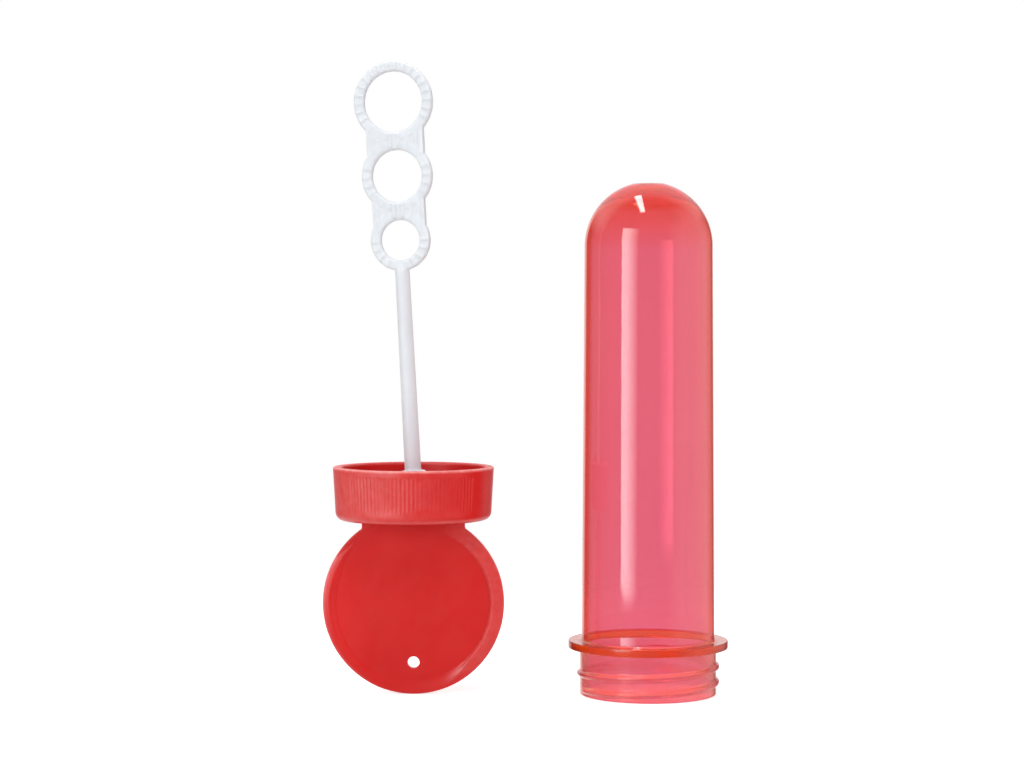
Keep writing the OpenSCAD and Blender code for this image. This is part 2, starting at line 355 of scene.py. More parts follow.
def ridge(angles, heights, first_z, turns):
    """Height of a right-hand thread over its wall, from 0 to 1, at each height and angle."""
    share = ((angles - THREAD_FROM) % FULL_TURN) / FULL_TURN
    risen = np.zeros((len(heights), len(angles)))
    for whole in range(math.ceil(turns)):
        turn = share + whole
        grown = smooth(np.minimum(turn, turns - turn) / THREAD_FADE)
        off = np.abs(heights[:, None] - first_z - turn * THREAD_PITCH)
        slope = (THREAD_FOOT_HALF - off) / (THREAD_FOOT_HALF - THREAD_CREST_HALF)
        risen = np.maximum(risen, grown * smooth(slope))
    return risen


def dome_inside():
    """Inside of the dome, whose wall thickens towards the gate."""
    inner_r = DOME_R - BODY_WALL
    thicker = inner_r - (TUBE_HIGH.z - APEX_WALL - DOME_Z)
    points = []
    for angle in np.radians(np.linspace(0, 90, DOME_STEPS + 1)):
        share = max(angle - THICKENS_FROM, 0) / (QUARTER_TURN - THICKENS_FROM)
        r = inner_r - thicker * share ** THICKENING_POWER
        points.append((r * math.cos(angle), DOME_Z + r * math.sin(angle)))
    return points


def tube_outline():
    """Half section of the tube's wall: gate, dome, body, flange and neck, then the inside."""
    gate_angle = math.degrees(math.acos(GATE_R / DOME_R))
    gate_z = TUBE_HIGH.z
    dish_z = gate_z - GATE_DISH
    edge_r = FLANGE_R - FLANGE_EDGE
    return outline(
        (0, dish_z + GATE_DISH / 2),
        (GATE_NUB_R, dish_z + GATE_DISH / 2), (GATE_NUB_R + GATE_DISH, dish_z),
        4, (GATE_DISH_R, dish_z), 3, (GATE_R - GATE_DISH, gate_z),
        arc(0, DOME_Z, DOME_R, gate_angle, 0, DOME_STEPS),
        40, arc(BODY_FLANGE_R + BODY_BLEND, BODY_Z + BODY_BLEND, BODY_BLEND, 180, 270, 6),
        5, arc(edge_r, BODY_Z - FLANGE_EDGE, FLANGE_EDGE, 90, 0, 4),
        3, arc(edge_r, NECK_LEN + FLANGE_EDGE, FLANGE_EDGE, 0, -90, 4),
        4, arc(NECK_R + FLANGE_EDGE, NECK_LEN - FLANGE_EDGE, FLANGE_EDGE, 90, 180, 4),
        round(NECK_LEN / THREAD_ROW), arc(NECK_R - MOUTH_EDGE, MOUTH_EDGE, MOUTH_EDGE, 0, -90, 4),
        4, arc(BORE_R + MOUTH_EDGE, MOUTH_EDGE, MOUTH_EDGE, 270, 180, 4),
        8, (BORE_R, BODY_Z + BODY_BLEND),
        40, dome_inside(),
    )


def tube_worn(x, y, z):
    """Wear of the neck and the gate, and near the edges of the flange and the mouth."""
    out = np.hypot(x - TUBE_X, y)
    near = np.where(z > TUBE_HIGH.z - GATE_WEAR_H, np.maximum(out - GATE_R, 0), WEAR_REACH)
    for r, edge_z in ((FLANGE_R, BODY_Z), (FLANGE_R, NECK_LEN), (NECK_R, 0), (BORE_R, 0)):
        near = np.minimum(near, np.hypot(out - r, z - edge_z))
    return np.maximum(fading(near, WEAR_REACH), NECK_WEAR * fading(z - BODY_Z, WEAR_REACH))


def make_tube():
    """The tube, with its thread round the neck."""
    points = tube_outline()
    angles = np.arange(TUBE_COLUMNS) * FULL_TURN / TUBE_COLUMNS
    on_neck = (points[:, 0] > NECK_R - MOUTH_EDGE / 2) & (points[:, 1] < NECK_LEN)
    change = THREAD_H * ridge(angles, points[:, 1], THREAD_LEAD, TUBE_TURNS)
    tube = lathe("tube_shell", points, angles, TUBE_X, 0, change * on_neck[:, None])
    mark_wear_and_highlight(tube, tube_worn, MM)
    shade(tube, TUBE_SHARP_ANGLE)
    return tube


def cap_angles():
    """Angles of the cap's columns, close together where the flutes are."""
    step = FULL_TURN / FLUTE_COUNT
    half = FLUTES_A_SIDE * step / 2
    fluted = np.linspace(-half, half, FLUTES_A_SIDE * FLUTE_SAMPLES + 1)
    plain_count = round((math.pi - 2 * half) / PLAIN_COLUMN)
    plain = np.linspace(half, math.pi - half, plain_count + 1)[1:-1]
    front = -QUARTER_TURN
    return np.concatenate([fluted, plain, fluted + math.pi, plain + math.pi]) + front


def flute_change(angles, heights):
    """How much the flutes take off the cap's outside, in rows of heights."""
    step = FULL_TURN / FLUTE_COUNT
    side = (angles + 2 * QUARTER_TURN) % math.pi - QUARTER_TURN
    number = np.round(side / step)
    across = np.cos((side / step - number) * FULL_TURN) / 2 + 0.5
    inside = np.abs(side) < FLUTES_A_SIDE * step / 2
    chance = random.Random(FLUTE_SEED)
    numbers = range(-FLUTES_A_SIDE, FLUTES_A_SIDE + 1)
    uneven = {n: chance.uniform(FLUTE_LEAST, 1.0) for n in numbers}
    depth = FLUTE_DEPTH * across * inside * np.array([uneven[int(n)] for n in number])
    foot = smooth((heights - FLUTE_FOOT) / FLUTE_FOOT_FADE)
    head = smooth((CAP_H - FLUTE_HEAD - heights) / FLUTE_HEAD_FADE)
    return -(foot * head)[:, None] * depth


def cap_outline():
    """Half section of the cap: closed end, side and rim, then thread wall, seal ring and socket."""
    flute_top = CAP_H - FLUTE_HEAD
    slope = (CAP_RIM_R - CAP_BASE_R) / (CAP_H - RIM_EDGE - CAP_CORNER_R)

    def side(z):
        return (CAP_BASE_R + (z - CAP_CORNER_R) * slope, z)

    fillet_z = CAP_END_T + INNER_FILLET
    seal_top = CAP_END_T + SEAL_H
    seal_inner_r = SEAL_R - SEAL_WALL
    thread_rows = round((CAP_H - LEAD_IN - CAP_END_T) / THREAD_ROW)
    return outline(
        (0, 0), 4, arc(CAP_BASE_R - CAP_CORNER_R, CAP_CORNER_R, CAP_CORNER_R, -90, 0, 8),
        2, side(FLUTE_FOOT), 8, side(FLUTE_FOOT + FLUTE_FOOT_FADE),
        7, side(flute_top - FLUTE_HEAD_FADE), 5, side(flute_top),
        3, arc(CAP_RIM_R - RIM_EDGE, CAP_H - RIM_EDGE, RIM_EDGE, 0, 90, 4),
        2, arc(CAP_BORE_R + LEAD_IN, CAP_H - LEAD_IN, LEAD_IN, 90, 180, 4),
        thread_rows, arc(CAP_BORE_R - INNER_FILLET, fillet_z, INNER_FILLET, 0, -90, 3),
        3, arc(SEAL_R + INNER_FILLET, fillet_z, INNER_FILLET, 270, 180, 3),
        3, arc(SEAL_R - SEAL_EDGE, seal_top - SEAL_EDGE, SEAL_EDGE, 0, 90, 3),
        (seal_inner_r, seal_top),
        3, arc(seal_inner_r - INNER_FILLET, fillet_z, INNER_FILLET, 0, -90, 3),
        5, arc(BOSS_R + INNER_FILLET, fillet_z, INNER_FILLET, 270, 180, 3),
        4, arc(BOSS_R - BOSS_EDGE, BOSS_TOP - BOSS_EDGE, BOSS_EDGE, 0, 90, 3),
        (SOCKET_R, BOSS_TOP), 4, (SOCKET_R, SOCKET_Z), (0, SOCKET_Z),
    )


def make_cap_shell():
    """The cap without its tag."""
    points = cap_outline()
    angles = cap_angles()
    radii, heights = points[:, 0], points[:, 1]
    outside = radii > CAP_BASE_R - CAP_CORNER_R
    outside &= np.arange(len(points)) < np.argmax(heights)
    walled = (np.abs(radii - CAP_BORE_R) < TINY) & (heights < CAP_H)
    first_z = CAP_END_T + THREAD_LEAD + THREAD_PITCH / 2
    change = flute_change(angles, heights) * outside[:, None]
    change -= THREAD_H * ridge(angles, heights, first_z, CAP_TURNS) * walled[:, None]
    return lathe("cap_shell", points, angles, CAP_X, CAP_Z, change)


def tag_reach(angles):
    """Distance from the tag's middle to its edge, or to the tab's side or top."""
    tab_top = TAG_DROP + TAB_IN
    sides = TAB_W / 2 / np.maximum(np.abs(np.cos(angles)), TINY)
    top = tab_top / np.maximum(np.sin(angles), TINY)
    tab = np.where(np.sin(angles) > 0, np.minimum(sides, top), 0)
    return np.maximum(tab, TAG_R)


def tag_half_thickness(radii, angles):
    """Half the tag's thickness over its faces: floor, rounded rim and the fillet on its tab.

    The rim stands out on the right, softly on the left, and runs into the face at the bottom and
    at the top, where the face rises to the tab.
    """
    heights = radii * np.sin(angles)
    share = np.clip((radii - RECESS_R) / RIM_W, 0, 1)
    crown = np.sin(math.pi * (RIM_CROWN[0] + RIM_CROWN[1] * share))
    beside = smooth((np.abs(np.cos(angles)) - RIM_SIDE_FROM) / RIM_SIDE_SPAN)
    crown = 1 - (1 - crown) * beside * (1 - smooth((heights - RIM_FLAT_Z) / RIM_W))
    left = smooth(-np.cos(angles) / RIM_LEFT_SPAN) * RIM_LEFT_SOFTNESS
    softened = np.maximum(1 - beside, left)
    step_w = RIM_STEP_W + (RIM_W - RIM_STEP_W) * softened
    rim = smooth((radii - RECESS_R) / step_w) * crown
    risen = smooth((heights - FACE_RISES_Z) / (RIM_FLAT_Z - FACE_RISES_Z))
    rise = np.clip((heights - TAG_DROP + TAB_FILLET) / TAB_FILLET, 0, 1)
    fillet = TAB_FILLET * (1 - np.sqrt(1 - rise ** 2))
    return TAG_T / 2 - RECESS_DEPTH * (1 - np.maximum(rim, risen)) + fillet


def make_tag():
    """The round tag with its rounded rim and its tab, standing in the XZ plane under the cap."""
    angles = np.arange(TAG_COLUMNS) * FULL_TURN / TAG_COLUMNS
    flat_reach = tag_reach(angles) - TAG_EDGE
    inner = [*np.linspace(0, RECESS_R - RECESS_CREASE, TAG_FLOOR_RINGS + 1)[1:], RECESS_R]
    radii = [np.full(TAG_COLUMNS, r) for r in inner]
    shares = np.linspace(0, 1, TAG_RIM_RINGS + 1)[1:]
    radii += [RECESS_R + (flat_reach - RECESS_R) * share for share in shares]
    half = [tag_half_thickness(r, angles) for r in radii]
    face_half = half[-1]
    for turn in np.radians(np.linspace(0, 90, TAG_EDGE_RINGS + 1)[1:]):
        radii.append(flat_reach + TAG_EDGE * math.sin(turn))
        half.append(face_half - TAG_EDGE * (1 - math.cos(turn)))
    radii, half = np.array(radii), np.array(half)
    radii = np.concatenate([radii, radii[::-1]])
    depth = np.concatenate([-half, half[::-1]])
    rings = np.stack([
        CAP_X + radii * np.cos(angles), depth, TAG_R + radii * np.sin(angles),
    ], axis=2)
    floor_y = TAG_T / 2 - RECESS_DEPTH
    return closed_skin("tag", rings, (CAP_X, -floor_y, TAG_R), (CAP_X, floor_y, TAG_R))


def disc_along_y(name, r, half_length, edge, z):
    """Round rod or button along Y in the tag's plane, with rounded edges."""
    points = outline(
        (0, -half_length), arc(r - edge, edge - half_length, edge, -90, 0, 4),
        arc(r - edge, half_length - edge, edge, 0, 90, 4), (0, half_length),
    )
    angles = np.arange(DISC_COLUMNS) * FULL_TURN / DISC_COLUMNS
    made = lathe(name, points, angles, 0, 0)
    turn = Matrix.Rotation(QUARTER_TURN, 4, "X")
    made.data.transform(Matrix.Translation((CAP_X * MM, 0, (TAG_R + z) * MM)) @ turn)
    return made


def cap_rubbing_and_highlights(x, y, z):
    """Painted highlight on the cap's lip, rubbing with painted highlight along its other edges and
    the tag's edge, painted sheen on the left of its grip and painted highlight on the right of the
    tag's rim.
    """
    out = np.hypot(x - CAP_X, y)
    # The lip's pale line is a painted highlight
    lip = fading(np.hypot(out - CAP_RIM_R, z - CAP_HIGH.z), LIP_REACH)
    near = np.hypot(out - CAP_BORE_R, z - CAP_HIGH.z)
    corner = (1 - math.sqrt(0.5)) * CAP_CORNER_R
    near = np.minimum(near, np.hypot(out - CAP_BASE_R + corner, z - CAP_Z - corner))
    tag_r = np.hypot(x - CAP_X, z - TAG_R)
    side = np.hypot(tag_r - TAG_R, np.abs(y) - TAG_T / 2 + RECESS_DEPTH)
    near = np.minimum(near, np.where(z < CAP_Z - TAB_FILLET, side, WEAR_REACH))
    # Painted sheen on the grip, palest on the left and fading out towards the right
    on_grip = (out > CAP_BASE_R - CAP_CORNER_R / 2) & (z > CAP_Z)
    grip = on_grip * fading(x - CAP_X + CAP_RIM_R, GRIP_SHEEN_ENDS_X + CAP_RIM_R)
    # Painted highlight on the right part of the tag's rim
    turned = (x - CAP_X) / np.maximum(tag_r, TINY)
    right = smooth((turned - RIGHT_RIM_HIGHLIGHT_FROM) / RIGHT_RIM_HIGHLIGHT_SPAN)
    rim = (tag_r > RECESS_R) * (z < CAP_Z) * right
    # Edge rubbing with painted highlight, and the grip's painted sheen
    worn_and_highlit = np.maximum(EDGE_WEAR_AND_HIGHLIGHT * fading(near, WEAR_REACH), GRIP_SHEEN * grip)
    return np.maximum(lip, np.maximum(worn_and_highlit, RIGHT_RIM_HIGHLIGHT * rim))


def make_cap():
    """Cap and tag as the one moulding that they are."""
    cap = make_cap_shell()
    cut_or_join(cap, make_tag(), "UNION")
    floor_y = TAG_T / 2 - RECESS_DEPTH
    mark = disc_along_y("mark", MARK_R, MARK_H, MARK_H / 2, MARK_RISE)
    mark.data.transform(Matrix.Translation((0, -floor_y * MM, 0)))
    cut_or_join(cap, mark, "UNION")
    cut_or_join(cap, disc_along_y("hole", HOLE_R, TAG_T, MARK_H, -HOLE_DROP), "DIFFERENCE")
    # The cap's stored share holds rubbed edges, painted highlights and a painted sheen
    mark_wear_and_highlight(cap, cap_rubbing_and_highlights, MM)
    shade(cap, CAP_SHARP_ANGLE)
    return cap


def add_rod(bm, r1, r2, z1, z2, turn=Matrix()):
    """Round rod or cone along Z between two heights, which turn then tilts."""
    middle = Matrix.Translation((0, 0, (z1 + z2) / 2))
    bmesh.ops.create_cone(
        bm, cap_ends=True, segments=ROD_SEGMENTS, radius1=r1, radius2=r2, depth=z2 - z1,
        matrix=turn @ middle)


def add_skin(bm, rings):
    """Closed band of rings, each joined to the next and the last to the first."""
    verts = [[bm.verts.new(p) for p in ring] for ring in rings]
    for a, b in zip(verts, verts[1:] + verts[:1]):
        for k in range(len(a)):
            after = (k + 1) % len(a)
            bm.faces.new((a[k], a[after], b[after], b[k]))


def rib_rise(off):
    """How far a rib's face stands up, at distances in mm from the rib's middle."""
    return RIB_H * smooth(1 - off / RIB_HALF)


def add_ring(bm, r, z, below, above):
    """One flat ring in the XZ plane, with low radial ribs on its faces where no web runs over it.

    below and above are the widths of the webs there, or 0.
    """
    half_t = RING_T / 2
    low, high = r + RING_EDGE, r + RING_BAND - RING_EDGE
    section = outline(
        arc(low, RING_EDGE - half_t, RING_EDGE, 180, 270, 4),
        arc(high, RING_EDGE - half_t, RING_EDGE, 270, 360, 4),
        arc(high, half_t - RING_EDGE, RING_EDGE, 0, 90, 4),
        arc(low, half_t - RING_EDGE, RING_EDGE, 90, 180, 4),
    )
    middle = r + RING_BAND / 2
    count = 2 * round(FULL_TURN / 2 * middle / RIB_PITCH)
    turns = np.arange(count * RIB_SAMPLES) * FULL_TURN / (count * RIB_SAMPLES)
    ribs = (turns + QUARTER_TURN) * count / FULL_TURN - 0.5
    rise = rib_rise(np.abs(ribs - np.round(ribs)) * FULL_TURN * middle / count)
    web = np.where(np.sin(turns) > 0, above, below) / 2
    rise *= 1 - smooth((web - middle * np.abs(np.cos(turns))) / RIB_HALF)
    add_skin(bm, [
        [(p[0] * math.cos(a), p[1] * (1 + up / half_t), z + p[0] * math.sin(a)) for p in section]
        for a, up in zip(turns, rise)])


def add_web(bm, low_r, low_z, high_r, high_z, width):
    """Web between two rings, with low ribs along it that run on over the rings."""
    low_cut, high_cut = low_r + RING_EDGE, high_r + RING_EDGE
    across = np.linspace(-width / 2, width / 2, WEB_COLUMNS)
    ribs = across / RIB_PITCH - 0.5
    higher = np.where(np.abs(across) < RIB_PITCH, LONG_RIB_RISE, WEB_RIB_RISE)
    half = WEB_T / 2 + higher * rib_rise(np.abs(ribs - np.round(ribs)) * RIB_PITCH)
    verts = []
    for x, y in zip(across, half):
        bottom = low_z + math.sqrt(max(low_cut ** 2 - x ** 2, 0))
        top = high_z - math.sqrt(max(high_cut ** 2 - x ** 2, 0))
        verts.append([bm.verts.new((x, side, z)) for side, z in (
            (-y, bottom), (-y, top), (y, top), (y, bottom))])
    for a, b in zip(verts, verts[1:]):
        for k in range(4):
            after = (k + 1) % 4
            bm.faces.new((a[k], a[after], b[after], b[k]))
    bm.faces.new(verts[0])
    bm.faces.new(verts[-1])


def ring_heights():
    """Heights of the three rings' middles over the collar's underside, lowest first."""
    low_r, mid_r, top_r = RING_RADII
    low_z = COLLAR_H + STICK_LEN + RING_BAND + low_r
    mid_z = low_z + low_r + mid_r + 2 * RING_BAND - RING_MERGE
    return low_z, mid_z, mid_z + mid_r + top_r + 2 * RING_BAND - RING_MERGE


def wand_worn(x, y, z):
    """Wear near the edges of the upright wand's rings."""
    near = np.full(len(x), WEAR_REACH)
    for r, ring_z in zip(RING_RADII, ring_heights()):
        out = np.hypot(x, z - ring_z)
        for edge_r in (r, r + RING_BAND):
            near = np.minimum(near, np.hypot(out - edge_r, np.abs(y) - RING_T / 2))
    return fading(near, WEAR_REACH)


def make_wand():
    """The wand as one moulding: its parts are joined, fused by small voxels and softened.

    It is made upright with its rings in the XZ plane, and leans when it is done.
    """
    bm = bmesh.new()
    stick_top = COLLAR_H + STICK_LEN
    add_rod(bm, COLLAR_R, COLLAR_R, 0, COLLAR_H - COLLAR_EDGE)
    add_rod(bm, COLLAR_R, COLLAR_R - COLLAR_EDGE, COLLAR_H - COLLAR_EDGE, COLLAR_H)
    add_rod(bm, STICK_BASE_R, STICK_TIP_R, COLLAR_H / 2, stick_top)
    add_rod(bm, STICK_TIP_R, RING_T / 2, stick_top, stick_top + RING_BAND - RING_EDGE)
    heights = ring_heights()
    webs = (0, *WEB_WIDTHS, 0)
    for k, (r, z) in enumerate(zip(RING_RADII, heights)):
        add_ring(bm, r, z, webs[k], webs[k + 1])
    for k, width in enumerate(WEB_WIDTHS):
        add_web(bm, RING_RADII[k], heights[k], RING_RADII[k + 1], heights[k + 1], width)
    leaning = Matrix.Rotation(-LEAN, 4, "Y") @ Matrix.Rotation(-RING_TURN, 4, "Z")
    peg_foot = BOSS_TOP - PEG_LEN - WAND_Z
    add_rod(bm, PEG_R, PEG_R, peg_foot, COLLAR_H / 2, leaning.inverted())
    bmesh.ops.recalc_face_normals(bm, faces=bm.faces)
    mesh = bpy.data.meshes.new("wand_shell")
    bm.to_mesh(mesh)
    bm.free()
    wand = new_object("wand_shell", mesh)
    fuse = wand.modifiers.new("fuse", "REMESH")
    fuse.mode = "VOXEL"
    fuse.voxel_size = WAND_VOXEL
    soften = wand.modifiers.new("soften", "SMOOTH")
    soften.factor = WAND_SOFTENING_SHARE
    soften.iterations = WAND_SOFTENING
    apply_modifiers(wand)
    mark_wear_and_highlight(wand, wand_worn, 1)
    place = Matrix.Translation((CAP_X * MM, 0, (CAP_Z + WAND_Z) * MM))
    wand.data.transform(place @ Matrix.Scale(MM, 4) @ leaning)
    shade(wand, 180)
    return wand


# Materials: noise scales per metre, and depths of bumps in metres
WEAR_PATCH_SCALE = 700
WEAR_PATCH_LEAST = 0.5
CLOUD_SCALE = 90
GLOSS_SCALE = 250
GRAIN_SCALE = 5000
GRAIN_DEPTH = 0.000004
SKIN_SCALE = 600
SKIN_DEPTH = 0.00001
PLASTIC_IOR = 1.49
PLASTIC_SPECULAR = 0.4
SUBSURFACE_SCALE = 0.0012

# Looks of the opaque plastics. rough holds the least and most roughness, and that of the rubbed and
# highlit places
CAP_LOOK = {
    "main": (0.62, 0.013, 0.011, 1),
    "deep": (0.58, 0.010, 0.009, 1),
    # Pale colour of the cap's rubbed edges, its painted highlights and its painted sheen
    "worn_and_highlit": (0.90, 0.40, 0.38, 1),
    "subsurface": 0.2,
    "radius": (1.0, 0.15, 0.1),
    "rough": (0.32, 0.42, 0.5),
}
WAND_LOOK = {
    "main": (0.69, 0.705, 0.735, 1),
    "deep": (0.65, 0.67, 0.705, 1),
    "worn_and_highlit": (0.705, 0.72, 0.75, 1),
    "subsurface": 0.25,
    "radius": (1.0, 0.9, 0.85),
    "rough": (0.38, 0.5, 0.55),
}

# The tube's clear plastic, which is a little cloudy round the gate and on the scuffed neck
TUBE_TINT = (0.92, 0.42, 0.672, 1)
TUBE_DEEP_TINT = (0.91, 0.40, 0.65, 1)
TUBE_WORN_TINT = (0.83, 0.45, 0.93, 1)
TUBE_EDGE_TINT = (0.90, 0.06, 0.09, 1)
TUBE_DOME_TINT = (0.905, 0.33, 0.46, 1)
TUBE_CLOUD_TINT = (0.92, 0.20, 0.13, 1)
SHADOW_TINT = (0.95, 0.55, 0.57, 1)
DEPTH_TINT = (0.9825, 0.725, 0.15, 1)
DEPTH_DENSITY = 800.0
EDGE_SLOPE = (0.56, 0.70)
EDGE_TINT_FADE = 1
DOME_TINT_BELOW = 1
DOME_TINT_ABOVE = 6
GATE_CLOUD = 5
GATE_CLOUD_FULL = 1
GATE_CLEAR = 0.75
NECK_CLEAR = 0.88
NECK_CLEAR_FADE = 0.5
TUBE_CLOUD_SCALE = 60
TUBE_GLOSS_SCALE = 400
TUBE_ROUGH = (0.03, 0.06)
TUBE_WORN_ROUGH = 0.26
RIPPLE_SCALE = 120
RIPPLE_DEPTH = 0.00002
TUBE_SKIN_SCALE = 2500
TUBE_SKIN_DEPTH = 0.0000015


def new_material(name):
    """Empty node material, and its tree."""
    material = bpy.data.materials.new(name)
    material.use_nodes = True
    material.node_tree.nodes.clear()
    return material, material.node_tree


def add_node(tree, kind, inputs=None, **settings):
    """Node of that kind. inputs holds sockets' values, or the sockets that are linked to them."""
    node = tree.nodes.new(kind)
    for name, value in settings.items():
        setattr(node, name, value)
    for name, value in (inputs or {}).items():
        if isinstance(value, bpy.types.NodeSocket):
            tree.links.new(value, node.inputs[name])
        else:
            node.inputs[name].default_value = value
    return node


def noise(tree, place, scale, detail=3.0):
    """Noise over the object's own space, from about 0 to 1."""
    return add_node(
        tree, "ShaderNodeTexNoise",
        {"Vector": place, "Scale": scale, "Detail": detail}).outputs["Fac"]


def span(tree, value, low, high, start=0.3, end=0.7):
    """A value's range from start to end, turned into another range."""
    return add_node(
        tree, "ShaderNodeMapRange",
        {"Value": value, "From Min": start, "From Max": end, "To Min": low, "To Max": high},
    ).outputs["Result"]


def calculated(tree, operation, first, second):
    """Result of a calculation with two numbers or sockets."""
    return add_node(tree, "ShaderNodeMath", {0: first, 1: second}, operation=operation).outputs[0]


def between(tree, share, first, second):
    """Two numbers mixed by a share."""
    return add_node(tree, "ShaderNodeMix", {0: share, 2: first, 3: second}).outputs[0]


def mixed(tree, share, first, second):
    """Two colours mixed by a share."""
    return add_node(
        tree, "ShaderNodeMix", {0: share, 6: first, 7: second}, data_type="RGBA").outputs[2]


def bumped(tree, height, depth, under=None):
    """Bump of that depth in metres."""
    inputs = {"Height": height, "Distance": depth, "Strength": 1.0}
    if under is not None:
        inputs["Normal"] = under
    return add_node(tree, "ShaderNodeBump", inputs).outputs["Normal"]


def object_space(tree):
    """Coordinates in metres that stay with the piece."""
    return add_node(tree, "ShaderNodeTexCoord").outputs["Object"]


def by_ray(tree, strength, seen):
    """Strength for most rays, and another one for each kind of ray that seen names."""
    path = add_node(tree, "ShaderNodeLightPath")
    for kind, value in seen.items():
        strength = between(tree, path.outputs[kind], strength, value)
    return strength


def worn_and_highlit_share(tree, place):
    """How rubbed the surface is, with the cap's painted highlights and sheen, from the share stored
    in the mesh, broken up by noise.
    """
    wear_and_highlight = add_node(tree, "ShaderNodeAttribute", attribute_name="wear_and_highlight").outputs["Fac"]
    patchy = span(tree, noise(tree, place, WEAR_PATCH_SCALE), WEAR_PATCH_LEAST, 1)
    return calculated(tree, "MULTIPLY", wear_and_highlight, patchy)


def moulded_plastic(name, main, deep, worn_and_highlit, subsurface, radius, rough):
    """Opaque moulded plastic: cloudy colour, paler rubbed places and painted highlights, uneven
    gloss and a fine skin.
    """
    material, tree = new_material(name)
    place = object_space(tree)
    cloudy = span(tree, noise(tree, place, CLOUD_SCALE), 0, 1)
    # On the cap this share also carries painted highlights and a painted sheen
    scuffed_and_highlit = worn_and_highlit_share(tree, place)
    least, most, worn_rough = rough
    gloss = span(tree, noise(tree, place, GLOSS_SCALE), least, most)
    grain = bumped(tree, noise(tree, place, GRAIN_SCALE, 2), GRAIN_DEPTH)
    plastic = add_node(tree, "ShaderNodeBsdfPrincipled", {
        "Base Color": mixed(tree, scuffed_and_highlit, mixed(tree, cloudy, main, deep), worn_and_highlit),
        "Roughness": between(tree, scuffed_and_highlit, gloss, worn_rough),
        "Normal": bumped(tree, noise(tree, place, SKIN_SCALE, 2), SKIN_DEPTH, grain),
        "IOR": PLASTIC_IOR,
        "Specular IOR Level": PLASTIC_SPECULAR,
        "Subsurface Weight": subsurface,
        "Subsurface Radius": radius,
        "Subsurface Scale": SUBSURFACE_SCALE,
    })
    add_node(tree, "ShaderNodeOutputMaterial", {"Surface": plastic.outputs[0]})
    return material


def tube_tint(tree, place, height, scuffed_and_highlit, clouded):
    """The clear plastic's colour: redder in the dome and seen aslant, paler where it is rubbed."""
    cloudy = span(tree, noise(tree, place, TUBE_CLOUD_SCALE), 0, 1)
    tint = mixed(tree, cloudy, TUBE_TINT, TUBE_DEEP_TINT)
    in_dome = span(
        tree, height, 0, 1, (DOME_Z - DOME_TINT_BELOW) * MM, (DOME_Z + DOME_TINT_ABOVE) * MM)
    tint = mixed(tree, in_dome, tint, TUBE_DOME_TINT)
    tint = mixed(tree, clouded, tint, TUBE_CLOUD_TINT)
    tint = mixed(tree, scuffed_and_highlit, tint, TUBE_WORN_TINT)
    aslant = add_node(tree, "ShaderNodeLayerWeight", {"Blend": 0.5}).outputs["Facing"]
    on_body = span(tree, height, 0, 1, BODY_Z * MM, (BODY_Z + EDGE_TINT_FADE) * MM)
    slope = calculated(tree, "MULTIPLY", span(tree, aslant, 0, 1, *EDGE_SLOPE), on_body)
    return mixed(tree, slope, tint, TUBE_EDGE_TINT)


def clear_plastic():
    """See-through red plastic, which tints light at its surfaces and along its depth."""
    material, tree = new_material("tube_plastic")
    place = object_space(tree)
    height = add_node(tree, "ShaderNodeSeparateXYZ", {0: place}).outputs["Z"]
    scuffed_and_highlit = worn_and_highlit_share(tree, place)
    clouded = span(
        tree, height, 0, 1,
        (TUBE_HIGH.z - GATE_CLOUD) * MM, (TUBE_HIGH.z - GATE_CLOUD_FULL) * MM)
    under_flange = span(tree, height, 1, 0, (NECK_LEN - NECK_CLEAR_FADE) * MM, NECK_LEN * MM)
    on_neck = calculated(tree, "MULTIPLY", scuffed_and_highlit, under_flange)
    clear = between(tree, on_neck, 1.0, NECK_CLEAR)
    gloss = span(tree, noise(tree, place, TUBE_GLOSS_SCALE), *TUBE_ROUGH)
    ripple = bumped(tree, noise(tree, place, RIPPLE_SCALE, 1), RIPPLE_DEPTH)
    plastic = add_node(tree, "ShaderNodeBsdfPrincipled", {
        "Base Color": tube_tint(tree, place, height, scuffed_and_highlit, clouded),
        "Roughness": between(tree, scuffed_and_highlit, gloss, TUBE_WORN_ROUGH),
        "Normal": bumped(tree, noise(tree, place, TUBE_SKIN_SCALE, 2), TUBE_SKIN_DEPTH, ripple),
        "IOR": PLASTIC_IOR,
        "Transmission Weight": between(tree, clouded, clear, GATE_CLEAR),
    })
    through = add_node(tree, "ShaderNodeBsdfTransparent", {"Color": SHADOW_TINT})
    shadow = add_node(tree, "ShaderNodeLightPath").outputs["Is Shadow Ray"]
    surface = add_node(tree, "ShaderNodeMixShader", {
        0: shadow, 1: plastic.outputs[0], 2: through.outputs[0]})
    depth = add_node(tree, "ShaderNodeVolumeAbsorption", {
        "Color": DEPTH_TINT, "Density": DEPTH_DENSITY})
    add_node(tree, "ShaderNodeOutputMaterial", {
        "Surface": surface.outputs[0], "Volume": depth.outputs[0]})
    return material


def finish_piece(piece, body, node, material):
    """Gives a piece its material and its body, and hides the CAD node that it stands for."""
    piece.data.materials.clear()
    piece.data.materials.append(material)
    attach(piece, body)
    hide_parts(node)


# Studio around the object. The ranges are of the parts of a direction, each from -1 to 1
FILL = 0.45
GLOSS_DIM = 0.06
THROUGH_DIM = 0.75
BACKDROP_LEFT = (-0.52, -0.40)
BACKDROP_RIGHT = (0.30, 0.42)
BACKDROP_BEHIND = (0, 0.3)
SIDE_WALL = (0.48, 0.85)
SIDE_WALL_LIGHT = 0.9
STEEP = (0.2, 0.45)

# Floor, in metres
FLOOR_R = 0.5
FLOOR_SEGMENTS = 128
FLOOR_SOLID_R = 0.10
FLOOR_FADE_R = 0.24
FLOOR_DROP = 0.00005
FLOOR_PALE = (0.79, 0.81)
FLOOR_SPECK_SCALE = 40
FLOOR_GLOW = 0.62
FLOOR_GLOW_THROUGH = 0.17

